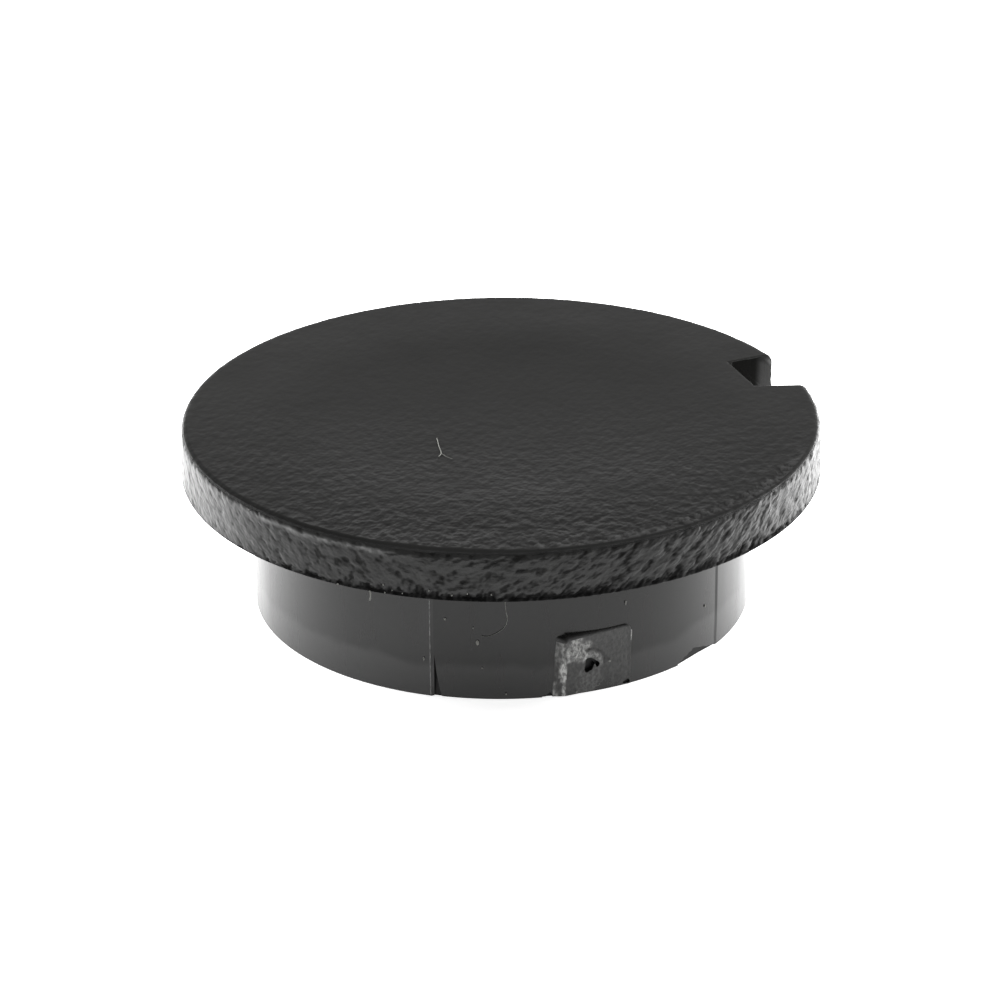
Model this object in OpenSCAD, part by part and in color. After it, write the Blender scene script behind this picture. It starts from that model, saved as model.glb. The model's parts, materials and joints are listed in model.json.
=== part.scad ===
// Flanged rubber plug for a round hole, moulded in one piece.
// +Z runs up the plug's axis, the skirt stands on z = 0, the notch faces +X and the gate faces -Y.

/* [Flange] */
// Diameter of the flange at its lower edge
flange_d = 32; // [30:0.5:40]
// Thickness of the flange at its flat outer ring
flange_t = 2.55; // [2:0.05:4]
// Draft of the rim, in degrees
rim_draft = 2; // [0:0.5:6]
// Fillet along the rim's top edge
rim_fillet = 0.4; // [0.2:0.05:0.9]

/* [Dished top] */
// Diameter at which the dish runs out into the flat ring
dish_d = 26; // [20:0.5:28]
// Depth of the dish at its centre
dish_depth = 0.4; // [0.1:0.05:0.6]
// Radius of the soft shoulder between the dish and the ring
dish_shoulder = 60; // [10:5:100]

/* [Skirt] */
// Diameter of the skirt that enters the hole
skirt_d = 25; // [22:0.5:27]
// Length of the skirt below the flange
skirt_len = 6.95; // [5:0.05:14]
// Wall of the skirt at the foot
skirt_wall = 1.6; // [1.2:0.1:3]
// Height of the lead-in taper at the foot
lead_in_h = 1.4; // [0.5:0.1:2]
// How far the lead-in draws the foot inwards
lead_in = 0.08; // [0.02:0.02:0.3]

/* [Hollow] */
// Thickness of the web at the middle of the dish
web_t = 2; // [1:0.1:2.5]
// Draft of the hollow's wall, in degrees
hollow_draft = 1; // [0:0.5:3]
// Fillet between the hollow's wall and the web
hollow_fillet = 0.8; // [0.2:0.1:1.5]

/* [Pry notch] */
// Depth of the notch, from the rim inwards
notch_depth = 2.75; // [1:0.05:3.2]
// Width of the notch at its inner end
notch_w = 3.3; // [1.6:0.1:5]
// Distance of the inner end's middle from the X axis, to the left
notch_off = 0.3; // [-1:0.1:1]
// Flare of the left flank, in degrees
notch_flare_left = 2; // [0:1:30]
// Flare of the right flank, in degrees
notch_flare_right = 19; // [0:1:30]
// Radius of the two inner corners
notch_corner = 0.3; // [0.1:0.05:0.6]

/* [Side insert] */
// Half of the angle that the mould's side insert spans, in degrees
insert_half_angle = 36.5; // [28:0.5:44]
// How far the insert's face sits below the rest of the skirt
insert_step = 0.1; // [0.04:0.02:0.2]

/* [Gate pad] */
// Width of the pad's face
gate_w = 3.4; // [2.5:0.1:5]
// Distance of the face's middle from the insert's middle, to the right
gate_off = 0.2; // [-1:0.1:1]
// Height of the pad above the foot
gate_h = 3.2; // [2.4:0.1:4.5]
// How far the face's left edge stands out from the skirt
gate_proud_left = 0.2; // [0.1:0.02:0.4]
// How far the face's right edge stands out from the skirt
gate_proud_right = 0.08; // [0:0.02:0.4]
// Slope of the pad's flanks, in degrees
gate_flank = 52; // [10:2:60]
// Round of the pad's upper corners
gate_corner = 0.5; // [0.2:0.1:1]

/* [Torn gate] */
// Diameter of the pit that the gate left when it tore off
pit_d = 0.8; // [0.4:0.1:1.4]
// Depth of the pit
pit_depth = 0.5; // [0.2:0.1:0.8]
// Height of the pit above the foot
pit_z = 1.6; // [0.8:0.1:2]
// Distance of the pit from the insert's middle, to the left
pit_off = 0.3; // [0:0.1:0.8]

/* [Foot chips] */
// Depth of the chips, from the skirt's face inwards
chip_depth = 0.6; // [0.2:0.1:1]
// Width of the chip at the insert's right edge
chip_w = 2.7; // [2.1:0.1:3.5]
// Height of the chip at the insert's right edge
chip_h = 0.45; // [0.1:0.05:1]
// Distance of that chip's highest point from its left end
chip_peak = 1.1; // [0.1:0.1:2]
// Width of the split at the insert's left edge
split_w = 0.4; // [0.2:0.1:1]
// Height of the split at the insert's left edge
split_h = 2.2; // [0.5:0.1:3]
// Distance of the chip and the split from the insert's edges
chip_gap = 0.1; // [0.05:0.05:0.4]

/* [Hidden] */

$fn = 180;
arc_fn = 1440;      // facets of the dish's large circles
eps = 0.01;         // overlap of joined solids
reach = 1;          // how far cutters run past the surfaces they cut
gate_side = -90;    // direction of the gate, in degrees

flange_r = flange_d / 2;
skirt_r = skirt_d / 2;
foot_r = skirt_r - lead_in;
seat_z = skirt_len;
top_z = seat_z + flange_t;
ceiling_z = top_z - dish_depth - web_t;
hollow_r = foot_r - skirt_wall;

// Round of a corner: the part of a circle that lies beyond the chord from a to b, on the side of out.
module corner_round(centre, r, a, b, out) {
    intersection() {
        translate(centre) circle(r);
        polygon([a, b, b + out, a + out]);
    }
}

// Section of a disc from z0 to z1, with a drafted wall and a fillet at its upper edge.
module drafted_section(r, z0, z1, draft, fillet) {
    cz = z1 - fillet;
    cr = r - (fillet + (cz - z0) * sin(draft)) / cos(draft);
    wall_end = [cr + fillet * cos(draft), cz + fillet * sin(draft)];
    top_end = [cr, z1];
    polygon([[0, z0], [r, z0], wall_end, top_end, [0, z1]]);
    corner_round([cr, cz], fillet, wall_end, top_end, [fillet, fillet]);
}

module flange() {
    rotate_extrude() drafted_section(flange_r, seat_z, top_z, rim_draft, rim_fillet);
}

// Section of the skirt's outside, drawn in by inset.
module skirt_section(inset) {
    polygon([
        [0, 0],
        [foot_r - inset, 0],
        [skirt_r - inset, lead_in_h],
        [skirt_r - inset, seat_z + eps],
        [0, seat_z + eps]
    ]);
}

// Skirt: a core at the level of the insert's face, and the main face around the rest of the turn.
module skirt() {
    rotate_extrude() skirt_section(insert_step);
    rotate([0, 0, gate_side + insert_half_angle])
        rotate_extrude(angle = 360 - 2 * insert_half_angle) skirt_section(0);
}

module hollow() {
    rotate_extrude() {
        drafted_section(hollow_r, 0, ceiling_z, hollow_draft, hollow_fillet);
        translate([0, -reach]) square([hollow_r, reach + eps]);
    }
}

// Shallow dish: a wide bowl that turns into the ring over a tangent convex shoulder.
module dish() {
    dish_r = dish_d / 2;
    both = (dish_r * dish_r + dish_depth * dish_depth) / (2 * dish_depth);
    bowl = both - dish_shoulder;
    tangent_r = dish_r * bowl / both;
    rotate_extrude() {
        intersection() {
            translate([0, top_z - dish_depth + bowl]) circle(bowl, $fn = arc_fn);
            translate([0, top_z - dish_depth - reach]) square([tangent_r, dish_depth + 2 * reach]);
        }
        difference() {
            translate([tangent_r, top_z - dish_depth - reach])
                square([dish_r - tangent_r, dish_depth + 2 * reach]);
            translate([dish_r, top_z - dish_shoulder]) circle(dish_shoulder, $fn = arc_fn);
        }
    }
}

// Half of the notch's plan: from its middle line to one flank, with a round inner corner.
module notch_half(flare) {
    corner_y = notch_w / 2 - notch_corner * (1 - sin(flare)) / cos(flare);
    end_edge = [0, corner_y];
    flank_edge = [notch_corner * (1 - sin(flare)), corner_y + notch_corner * cos(flare)];
    outer_x = notch_depth + reach;
    outer_y = notch_w / 2 + outer_x * tan(flare);
    polygon([[0, -eps], end_edge, flank_edge, [outer_x, outer_y], [outer_x, -eps]]);
    corner_round(
        [notch_corner, corner_y],
        notch_corner,
        end_edge,
        flank_edge,
        [-notch_corner, notch_corner]
    );
}

module notch() {
    translate([flange_r - notch_depth, notch_off, seat_z - eps])
        linear_extrude(flange_t + reach) {
            notch_half(notch_flare_left);
            mirror([0, 1]) notch_half(notch_flare_right);
        }
}

// Distance from the axis plane to a pad edge that lies at x and stands out from the skirt by proud.
function pad_edge(x, proud) = sqrt(pow(skirt_r + proud, 2) - x * x);

pad_left_x = gate_off - gate_w / 2;
pad_right_x = gate_off + gate_w / 2;
pad_left = pad_edge(pad_left_x, gate_proud_left);
pad_right = pad_edge(pad_right_x, gate_proud_right);

// Plan of the pad: a flat, slightly turned face between two sloping flanks.
module pad_plan() {
    root = skirt_r - skirt_wall / 2;
    run = tan(gate_flank);
    polygon([
        [pad_left_x - (pad_left - root) * run, -root],
        [pad_left_x, -pad_left],
        [pad_right_x, -pad_right],
        [pad_right_x + (pad_right - root) * run, -root]
    ]);
}

// Front view of the pad, with its two upper corners rounded.
module pad_front() {
    half = gate_w / 2 + gate_corner / 2;
    round_x = half - gate_corner;
    round_z = gate_h - gate_corner;
    translate([gate_off, 0]) {
        polygon([
            [-half, 0],
            [-half, round_z],
            [-round_x, gate_h],
            [round_x, gate_h],
            [half, round_z],
            [half, 0]
        ]);
        for (side = [-1, 1])
            corner_round(
                [side * round_x, round_z],
                gate_corner,
                [side * half, round_z],
                [side * round_x, gate_h],
                [side * gate_corner, gate_corner]
            );
    }
}

module gate_pad() {
    rotate([0, 0, gate_side + 90]) intersection() {
        linear_extrude(gate_h) pad_plan();
        rotate([90, 0, 0]) linear_extrude(skirt_d) pad_front();
    }
}

// Pit of the torn gate: a cone that is pit_d wide at the pad's face and half that at its floor.
module gate_pit() {
    face = (pad_left + pad_right) / 2;
    floor_d = pit_d / 2;
    rotate([0, 0, gate_side + 90])
        translate([-pit_off, pit_depth - face, pit_z])
            rotate([90, 0, 0]) cylinder(d1 = floor_d, d2 = 2 * pit_d - floor_d, h = 2 * pit_depth);
}

// Wedge broken out of the foot's edge at an angle from the gate, w wide and h high.
// Its highest point lies peak to the right of its left end.
module chip(angle, w, h, peak) {
    rotate([0, 0, gate_side + angle])
        translate([skirt_r - chip_depth, -w / 2, 0])
            rotate([90, 0, 90]) linear_extrude(chip_depth + reach)
                polygon([[0, -reach], [w, -reach], [w, 0], [peak, h], [0, 0]]);
}

// Angle that a length along the skirt's face takes up.
function arc_angle(length) = length / skirt_r * 180 / PI;

module foot_chips() {
    chip(arc_angle(chip_gap + split_w / 2) - insert_half_angle, split_w, split_h, 0);
    chip(insert_half_angle - arc_angle(chip_gap + chip_w / 2), chip_w, chip_h, chip_peak);
}

module plug() {
    color("#2a2a29") difference() {
        union() {
            flange();
            skirt();
            gate_pad();
        }
        dish();
        hollow();
        notch();
        gate_pit();
        foot_chips();
    }
}

plug();
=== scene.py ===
# Flanged rubber plug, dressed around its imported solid
import json
import math

import bmesh
import bpy
from mathutils import Matrix, Vector, geometry, noise


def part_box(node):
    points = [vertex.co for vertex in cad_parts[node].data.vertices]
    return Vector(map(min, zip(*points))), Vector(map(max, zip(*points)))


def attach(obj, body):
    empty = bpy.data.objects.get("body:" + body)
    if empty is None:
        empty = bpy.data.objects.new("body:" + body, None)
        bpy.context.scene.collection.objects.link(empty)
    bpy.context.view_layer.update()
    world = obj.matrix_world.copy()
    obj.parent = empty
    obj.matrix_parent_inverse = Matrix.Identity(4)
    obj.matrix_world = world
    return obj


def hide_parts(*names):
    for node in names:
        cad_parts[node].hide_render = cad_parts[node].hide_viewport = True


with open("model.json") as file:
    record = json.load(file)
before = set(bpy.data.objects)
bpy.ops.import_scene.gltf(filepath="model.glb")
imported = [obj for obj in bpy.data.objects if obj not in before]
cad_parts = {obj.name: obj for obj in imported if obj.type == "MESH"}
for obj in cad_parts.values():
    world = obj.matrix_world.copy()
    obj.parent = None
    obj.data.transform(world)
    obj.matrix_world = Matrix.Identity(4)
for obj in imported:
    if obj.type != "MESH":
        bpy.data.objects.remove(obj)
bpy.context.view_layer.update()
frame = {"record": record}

toMm = 1000  # shapes are drawn in mm, and scaled to metres when they are finished
tiny = 0.001  # mm
photoTurn = math.radians(-20.8)  # turn of the camera around the plug, from the gate's side
mounts = {mount["name"]: mount for mount in frame["record"]["mounts"]}
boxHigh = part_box("plug")[1] * toMm
scene = bpy.context.scene


# Small helpers

def polar(r, angle, z=0.0):
    return Vector((r * math.cos(angle), r * math.sin(angle), z))


def between(start, end, share):
    return start + (end - start) * share


# Soft step from 0 at the first value to 1 at the second
def smooth(low, high, x):
    t = min(1.0, max(0.0, (x - low) / (high - low)))
    return t * t * (3 - 2 * t)


# 1 between the two inner limits, and 0 outside the outer two
def span(limits, x):
    return smooth(limits[0], limits[1], x) * smooth(limits[3], limits[2], x)


def newVerts(result):
    return [g for g in result["geom"] if isinstance(g, bmesh.types.BMVert)]


def newEdges(result):
    verts = set(newVerts(result))
    edges = [g for g in result["geom"] if isinstance(g, bmesh.types.BMEdge)]
    return [e for e in edges if e.verts[0] in verts and e.verts[1] in verts]


def meshObject(name, bm, materials=()):
    bmesh.ops.recalc_face_normals(bm, faces=bm.faces)
    openEdges = sum(not e.is_manifold for e in bm.edges)
    mesh = bpy.data.meshes.new(name)
    bm.to_mesh(mesh)
    bm.free()
    for material in materials:
        mesh.materials.append(material)
    obj = bpy.data.objects.new(name, mesh)
    scene.collection.objects.link(obj)
    print(name, len(mesh.polygons), "faces,", openEdges, "open edges")
    return obj


def combine(target, other, operation):
    cut = target.modifiers.new("cut", "BOOLEAN")
    cut.operation = operation
    cut.object = other
    cut.solver = "MANIFOLD"
    cut.material_mode = "TRANSFER"
    graph = bpy.context.evaluated_depsgraph_get()
    mesh = bpy.data.meshes.new_from_object(target.evaluated_get(graph))
    target.modifiers.clear()
    oldMesh = target.data
    target.data = mesh
    bpy.data.meshes.remove(oldMesh)
    bpy.data.meshes.remove(other.data)


# Colours and nodes

def linear(hexColour):
    channels = [int(hexColour[i:i + 2], 16) / 255 for i in (1, 3, 5)]
    return [c / 12.92 if c <= 0.04045 else ((c + 0.055) / 1.055) ** 2.4 for c in channels] + [1.0]


def addNode(tree, kind, settings=None, links=None):
    node = tree.nodes.new("ShaderNode" + kind)
    for name, value in (settings or {}).items():
        if isinstance(name, int) or name in node.inputs:
            node.inputs[name].default_value = value
        else:
            setattr(node, name, value)
    for name, source in (links or {}).items():
        tree.links.new(source, node.inputs[name])
    return node


def newMaterial(name):
    material = bpy.data.materials.new(name)
    material.use_nodes = True
    material.node_tree.nodes.clear()
    return material, material.node_tree


# Carbon-black rubber from a grained mould: matt black, with a soft sheen on the crests and painted shade in
# the hollows
grainedLook = {
    "colour": "#181817",
    # painted shade: the colour that the sunk attribute mixes in where it paints shade
    "hollow": "#0b0b0b",
    "ior": 1.45,
    "roughLow": 0.3,
    "roughHigh": 0.4,
    "smudge": 3.0,         # mm
    "rimPitch": 0.46,      # mm between fine strokes on the rim, and their length to their width
    "rimLength": 0.8,
    "topPitch": 0.4,       # the same on the top
    "topLength": 1.3,
    "fineDepth": 0.15,     # mm
    "fineDark": 0.7,       # painted shade: share of the sheen that the fine hollows lose on the rim
    "fineFrom": (0.47, 0.33),  # heights of the noise at which a hollow begins and is deepest
    "crest": 0.54,         # specular level on the crests and, as painted shade, in the hollows
    "valley": 0.06,
}


def grainedRubber():
    material, tree = newMaterial("moulded_rubber_grained")
    coord = addNode(tree, "TexCoord")
    place = addNode(tree, "Mapping", {"Scale": (toMm, toMm, toMm)}, {"Vector": coord.outputs["Object"]})
    smudge = addNode(tree, "TexNoise", {"Scale": 1 / grainedLook["smudge"], "Detail": 4.0},
                     {"Vector": place.outputs["Vector"]})
    rough = addNode(tree, "MapRange",
                    {"From Min": 0.3, "From Max": 0.7,
                     "To Min": grainedLook["roughLow"], "To Max": grainedLook["roughHigh"]},
                    {"Value": smudge.outputs["Fac"]})
    # Fine strokes: on the rim they lean to the left or right with their place, on the top they lie aslant
    split = addNode(tree, "SeparateXYZ", None, {"Vector": place.outputs["Vector"]})
    across = addNode(tree, "VectorMath", {"operation": "DOT_PRODUCT", 1: toRight},
                     {0: place.outputs["Vector"]})
    lean = addNode(tree, "MapRange",
                   {"interpolation_type": "SMOOTHSTEP",
                    "From Min": grain["leanFrom"][0], "From Max": grain["leanFrom"][1],
                    "To Min": grain["lean"][0], "To Max": grain["lean"][1]},
                   {"Value": across.outputs["Value"]})
    rise = addNode(tree, "Math", {"operation": "SUBTRACT", 1: rimMid}, {0: split.outputs["Z"]})
    move = addNode(tree, "Math", {"operation": "MULTIPLY"},
                   {0: lean.outputs["Result"], 1: rise.outputs["Value"]})
    around = addNode(tree, "VectorMath", {"operation": "CROSS_PRODUCT", 0: (0, 0, 1 / body["flangeR"])},
                     {1: place.outputs["Vector"]})
    shift = addNode(tree, "VectorMath", {"operation": "MULTIPLY"},
                    {0: around.outputs["Vector"], 1: move.outputs["Value"]})
    leaned = addNode(tree, "VectorMath", {"operation": "SUBTRACT"},
                     {0: place.outputs["Vector"], 1: shift.outputs["Vector"]})
    rimPitch, topPitch = grainedLook["rimPitch"], grainedLook["topPitch"]
    upright = addNode(tree, "Mapping",
                      {"vector_type": "TEXTURE",
                       "Scale": (rimPitch, rimPitch, rimPitch * grainedLook["rimLength"])},
                      {"Vector": leaned.outputs["Vector"]})
    aslant = addNode(tree, "Mapping",
                     {"vector_type": "TEXTURE", "Rotation": (0, 0, grain["lie"]),
                      "Scale": (topPitch * grainedLook["topLength"], topPitch, topPitch)},
                     {"Vector": place.outputs["Vector"]})
    side = addNode(tree, "Attribute", {"attribute_name": "side"})
    onEither = addNode(tree, "Mix", {"data_type": "VECTOR"},
                       {0: side.outputs["Fac"], 4: aslant.outputs["Vector"], 5: upright.outputs["Vector"]})
    fine = addNode(tree, "TexNoise", {"Scale": 1.0, "Detail": 1.5, "Roughness": 0.5},
                   {"Vector": onEither.outputs[1]})
    share = addNode(tree, "Attribute", {"attribute_name": "grain"})
    depth = addNode(tree, "Math", {"operation": "MULTIPLY", 1: grainedLook["fineDepth"] / toMm},
                    {0: share.outputs["Fac"]})
    bump = addNode(tree, "Bump", {"Strength": 1.0},
                   {"Height": fine.outputs["Fac"], "Distance": depth.outputs["Value"]})
    # The sunk attribute carries the painted shade and painted highlights set on the mesh; on the rim the
    # fine hollows add painted shade
    sunk = addNode(tree, "Attribute", {"attribute_name": "sunk"})
    hollow = addNode(tree, "MapRange",
                     {"From Min": grainedLook["fineFrom"][0], "From Max": grainedLook["fineFrom"][1],
                      "To Max": grainedLook["fineDark"]},
                     {"Value": fine.outputs["Fac"]})
    dark = addNode(tree, "Math", {"operation": "MULTIPLY_ADD"},
                   {0: hollow.outputs["Result"], 1: side.outputs["Fac"], 2: sunk.outputs["Fac"]})
    sheen = addNode(tree, "MapRange",
                    {"clamp": False, "To Min": grainedLook["crest"], "To Max": grainedLook["valley"]},
                    {"Value": dark.outputs["Value"]})
    level = addNode(tree, "Math", {"operation": "MAXIMUM", 1: grainedLook["valley"]},
                    {0: sheen.outputs["Result"]})
    # Painted shade also darkens the colour towards the hollow colour
    colour = addNode(tree, "Mix",
                     {"data_type": "RGBA",
                      6: linear(grainedLook["colour"]), 7: linear(grainedLook["hollow"])},
                     {0: sunk.outputs["Fac"]})
    shader = addNode(tree, "BsdfPrincipled", {"IOR": grainedLook["ior"]},
                     {"Base Color": colour.outputs[2], "Specular IOR Level": level.outputs["Value"],
                      "Roughness": rough.outputs["Result"], "Normal": bump.outputs["Normal"]})
    addNode(tree, "OutputMaterial", None, {"Surface": shader.outputs["BSDF"]})
    return material


# The same rubber from a polished part of the mould: semi-gloss, with faint streaks along the draw
smoothLook = {
    "colour": "#181817",
    "ior": 1.45,
    "roughLow": 0.22,
    "roughHigh": 0.3,
    "streak": 1.2,         # mm across
    "streakLength": 8.0,   # mm along the draw
    "skirt": 0.56,         # specular level of the skirt, the insert's face and the notch's walls
    "insert": 0.46,
    "notch": 0.34,
    "band": 1.45,          # mm, top of the band of stronger sheen at the foot
    "bandWander": 0.25,    # mm
    "bandWaves": 0.45,     # waves of its edge per mm
    "bandEdge": 0.6,       # mm
    "bandGain": 1.4,
}


def smoothRubber(part):
    material, tree = newMaterial("moulded_rubber_smooth_" + part)
    coord = addNode(tree, "TexCoord")
    across, along = toMm / smoothLook["streak"], toMm / smoothLook["streakLength"]
    drawn = addNode(tree, "Mapping", {"Scale": (across, across, along)}, {"Vector": coord.outputs["Object"]})
    streak = addNode(tree, "TexNoise", {"Scale": 1.0, "Detail": 3.0}, {"Vector": drawn.outputs["Vector"]})
    rough = addNode(tree, "MapRange",
                    {"From Min": 0.3, "From Max": 0.7,
                     "To Min": smoothLook["roughLow"], "To Max": smoothLook["roughHigh"]},
                    {"Value": streak.outputs["Fac"]})
    place = addNode(tree, "Mapping", {"Scale": (toMm, toMm, toMm)}, {"Vector": coord.outputs["Object"]})
    split = addNode(tree, "SeparateXYZ", None, {"Vector": place.outputs["Vector"]})
    level = smoothLook[part]
    if part == "notch":
        # Painted shade: the notch's walls lose their sheen towards its inner end
        start, end = [notch["innerX"] + gap for gap in notch["shadeFrom"]]
        sheen = addNode(tree, "MapRange",
                        {"interpolation_type": "SMOOTHSTEP", "From Min": start, "From Max": end,
                         "To Min": level * notch["shade"], "To Max": level},
                        {"Value": split.outputs["X"]})
    else:
        # The skirt's sheen is stronger along its foot, up to a wavy line
        wave = addNode(tree, "TexNoise", {"Scale": smoothLook["bandWaves"], "Detail": 3.0},
                       {"Vector": place.outputs["Vector"]})
        wander = addNode(tree, "MapRange",
                         {"From Min": 0.3, "From Max": 0.7,
                          "To Min": -smoothLook["bandWander"], "To Max": smoothLook["bandWander"]},
                         {"Value": wave.outputs["Fac"]})
        height = addNode(tree, "Math", {"operation": "ADD"},
                         {0: split.outputs["Z"], 1: wander.outputs["Result"]})
        sheen = addNode(tree, "MapRange",
                        {"interpolation_type": "SMOOTHSTEP", "From Min": smoothLook["band"],
                         "From Max": smoothLook["band"] + smoothLook["bandEdge"],
                         "To Min": level * smoothLook["bandGain"], "To Max": level},
                        {"Value": height.outputs["Value"]})
    shader = addNode(tree, "BsdfPrincipled",
                     {"Base Color": linear(smoothLook["colour"]), "IOR": smoothLook["ior"]},
                     {"Roughness": rough.outputs["Result"], "Specular IOR Level": sheen.outputs["Result"]})
    addNode(tree, "OutputMaterial", None, {"Surface": shader.outputs["BSDF"]})
    return material


# Rubber torn and scuffed at the gate: rough and greyer, with pale drawn streaks where it is scuffed, and
# painted highlights in the same pale on the pad's flanks and along the insert's left edge
tornLook = {
    "colour": "#2e2e2d",
    "pale": "#d6d6d4",
    "ior": 1.45,
    "rough": 0.36,
    "streak": 0.15,        # mm across
    "streakLength": 0.22,  # mm along the draw
    "streakFrom": (0.4, 0.62),  # heights of the noise at which a streak begins and is palest
    "between": 0.25,       # share of the paleness between the streaks
    "pit": 0.12,           # mm
    "pitDepth": 0.03,      # mm
}


def tornRubber():
    material, tree = newMaterial("torn_rubber_scuffed")
    coord = addNode(tree, "TexCoord")
    across, along = toMm / tornLook["streak"], toMm / tornLook["streakLength"]
    drawn = addNode(tree, "Mapping", {"Scale": (across, across, along)}, {"Vector": coord.outputs["Object"]})
    streak = addNode(tree, "TexNoise", {"Scale": 1.0, "Detail": 3.0}, {"Vector": drawn.outputs["Vector"]})
    share = addNode(tree, "MapRange",
                    {"From Min": tornLook["streakFrom"][0], "From Max": tornLook["streakFrom"][1],
                     "To Min": tornLook["between"]},
                    {"Value": streak.outputs["Fac"]})
    scuffAndHighlightShare = addNode(tree, "Attribute", {"attribute_name": "scuff"})
    amount = addNode(tree, "Math", {"operation": "MULTIPLY"},
                     {0: share.outputs["Result"], 1: scuffAndHighlightShare.outputs["Fac"]})
    colour = addNode(tree, "Mix",
                     {"data_type": "RGBA", 6: linear(tornLook["colour"]), 7: linear(tornLook["pale"])},
                     {0: amount.outputs["Value"]})
    place = addNode(tree, "Mapping", {"Scale": (toMm, toMm, toMm)}, {"Vector": coord.outputs["Object"]})
    pits = addNode(tree, "TexNoise", {"Scale": 1 / tornLook["pit"], "Detail": 3.0},
                   {"Vector": place.outputs["Vector"]})
    bump = addNode(tree, "Bump", {"Strength": 1.0, "Distance": tornLook["pitDepth"] / toMm},
                   {"Height": pits.outputs["Fac"]})
    shader = addNode(tree, "BsdfPrincipled", {"IOR": tornLook["ior"], "Roughness": tornLook["rough"]},
                     {"Base Color": colour.outputs[2], "Normal": bump.outputs["Normal"]})
    addNode(tree, "OutputMaterial", None, {"Surface": shader.outputs["BSDF"]})
    return material


# Raw rubber inside the split, the chips and the gate's pit: a broken face, whose near-black colour and low
# sheen are painted shade, so it stays black
rawShadeLook = {"colour": "#101010", "rough": 0.5, "sheen": 0.32}

# Cotton lint and dust: pale and dull
lintLook = {"colour": "#8e8e8a", "rough": 0.9, "sheen": 0.2}


def plainMaterial(name, look):
    material, tree = newMaterial(name)
    shader = addNode(tree, "BsdfPrincipled",
                     {"Base Color": linear(look["colour"]), "Roughness": look["rough"],
                      "Specular IOR Level": look["sheen"]})
    addNode(tree, "OutputMaterial", None, {"Surface": shader.outputs["BSDF"]})
    return material


# Body: one closed skin from the dished top over the rim, seat and skirt to the ceiling of the hollow

body = {
    "flangeR": boxHigh.y,
    "topZ": boxHigh.z,
    "seatZ": mounts["flange_seat"]["pos_m"][2] * toMm,
    "skirtR": mounts["skirt"]["dims"]["r_mm"],
    "rimDraft": math.radians(2),
    "rimFillet": 0.4,
    "filletFront": 0.5,     # the rim's upper edge is rounder in front and sharper elsewhere
    "filletLeft": 0.42,
    "filletBack": 0.38,
    "frontSpan": (-24, -12, 46, 62),    # degrees from the photographed side
    "leftSpan": (-72, -60, -30, -20),
    "edgeRing": 1.2,        # width of the top's ring that follows that edge
    "fold": 50,             # degrees on the fillet, where the rim's grain begins
    "lowerEdge": 0.06,      # round of the rim's lower edge
    "rimInset": 0.005,      # how far the rim's foot stays inside the solid's box
    "dishR": 13.0,
    "dishDepth": 0.4,
    "dishShoulder": 60.0,
    "leadIn": 0.03,         # how far the foot is drawn in
    "leadInH": 1.4,
    "wall": 1.6,
    "webT": 2.0,
    "hollowDraft": math.radians(1),
    "hollowFillet": 0.8,
    "insertHalf": math.radians(36.5),
    "insertStep": (0.08, 0.035),  # depth of the insert's face at its left and right edge
    "insertRun": (0.14, 0.05),    # width of the steep edge there
    "burr": (0.02, 0.0),          # raised line along it
    "burrFade": 0.3,              # the line runs out this far below the seat
    "burrBand": (0.05, 0.14),     # the left line's band of painted highlight, from the steep edge's middle
    "burrScuff": 0.6,
    "gateSide": math.radians(-90),
    "front": photoTurn - math.pi / 2,  # the side that the photo shows
    "gridCells": 224,       # cells across the top, so four times as many around the rim
    "rimStep": 0.12,        # height of one row of faces on the rim
}
body["rimTop"] = body["topZ"] - body["rimFillet"]
body["topR"] = body["flangeR"] - (
    body["rimFillet"] + (body["rimTop"] - body["seatZ"]) * math.sin(body["rimDraft"])
) / math.cos(body["rimDraft"])
body["footR"] = body["skirtR"] - body["leadIn"]
body["hollowR"] = body["footR"] - body["wall"]
toRight = polar(1, body["front"] + math.pi / 2)
rimMid = (body["seatZ"] + body["topZ"]) / 2

# Moulded grain: soft pebbles, drawn out aslant on the top and into leaning strokes on the rim
grain = {
    "pitch": 0.48,
    "depth": 0.08,
    "fineShare": 0.4,       # a second, finer layer of pebbles, and how much finer it is
    "fineScale": 2.1,
    "contrast": 0.8,
    "lean": (-0.7, 0.85),   # how far the rim's strokes lean to the right with height, at the left and right
    "leanFrom": (-14.0, 8.0),   # mm
    "rimLength": 0.8,
    "lie": math.radians(54),    # direction in which the top's pebbles are drawn out, and by how much
    "stretch": 1.8,
    "onTop": 0.7,
    "onFillet": 0.2,
    "onRim": 1.0,
    "topDepth": 0.5,        # the top's pebbles are this much shallower, and show more in their fine bump
    "frontGain": 0.8,       # how much stronger the top's grain is near its front edge
    "frontFrom": (0.55, 0.95),  # shares of the flange's radius
    "worn": 0.14,           # what is left of the top's grain at its smoothest side
    "wornSide": math.radians(69),
    "wornFrom": (0.3, -0.9),
    "leftRim": 0.38,        # share of the rim's grain on its left side
    "leftFrom": (-60, 20),  # degrees from the photographed side
    "footFade": (0.02, 0.14),   # mm above the seat, where the relief begins
}

# Torn band along the rim's lower edge, highest in front: torn relief cut into the mesh, and painted nearly
# black as shade
ragged = {
    "height": 0.58,
    "depth": 0.07,
    "pitch": 0.3,
    "least": 0.04,
    "sideShare": 0.28,      # share of its height at the back
    "frontSpan": (-52, -20, 50, 75),
}

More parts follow.
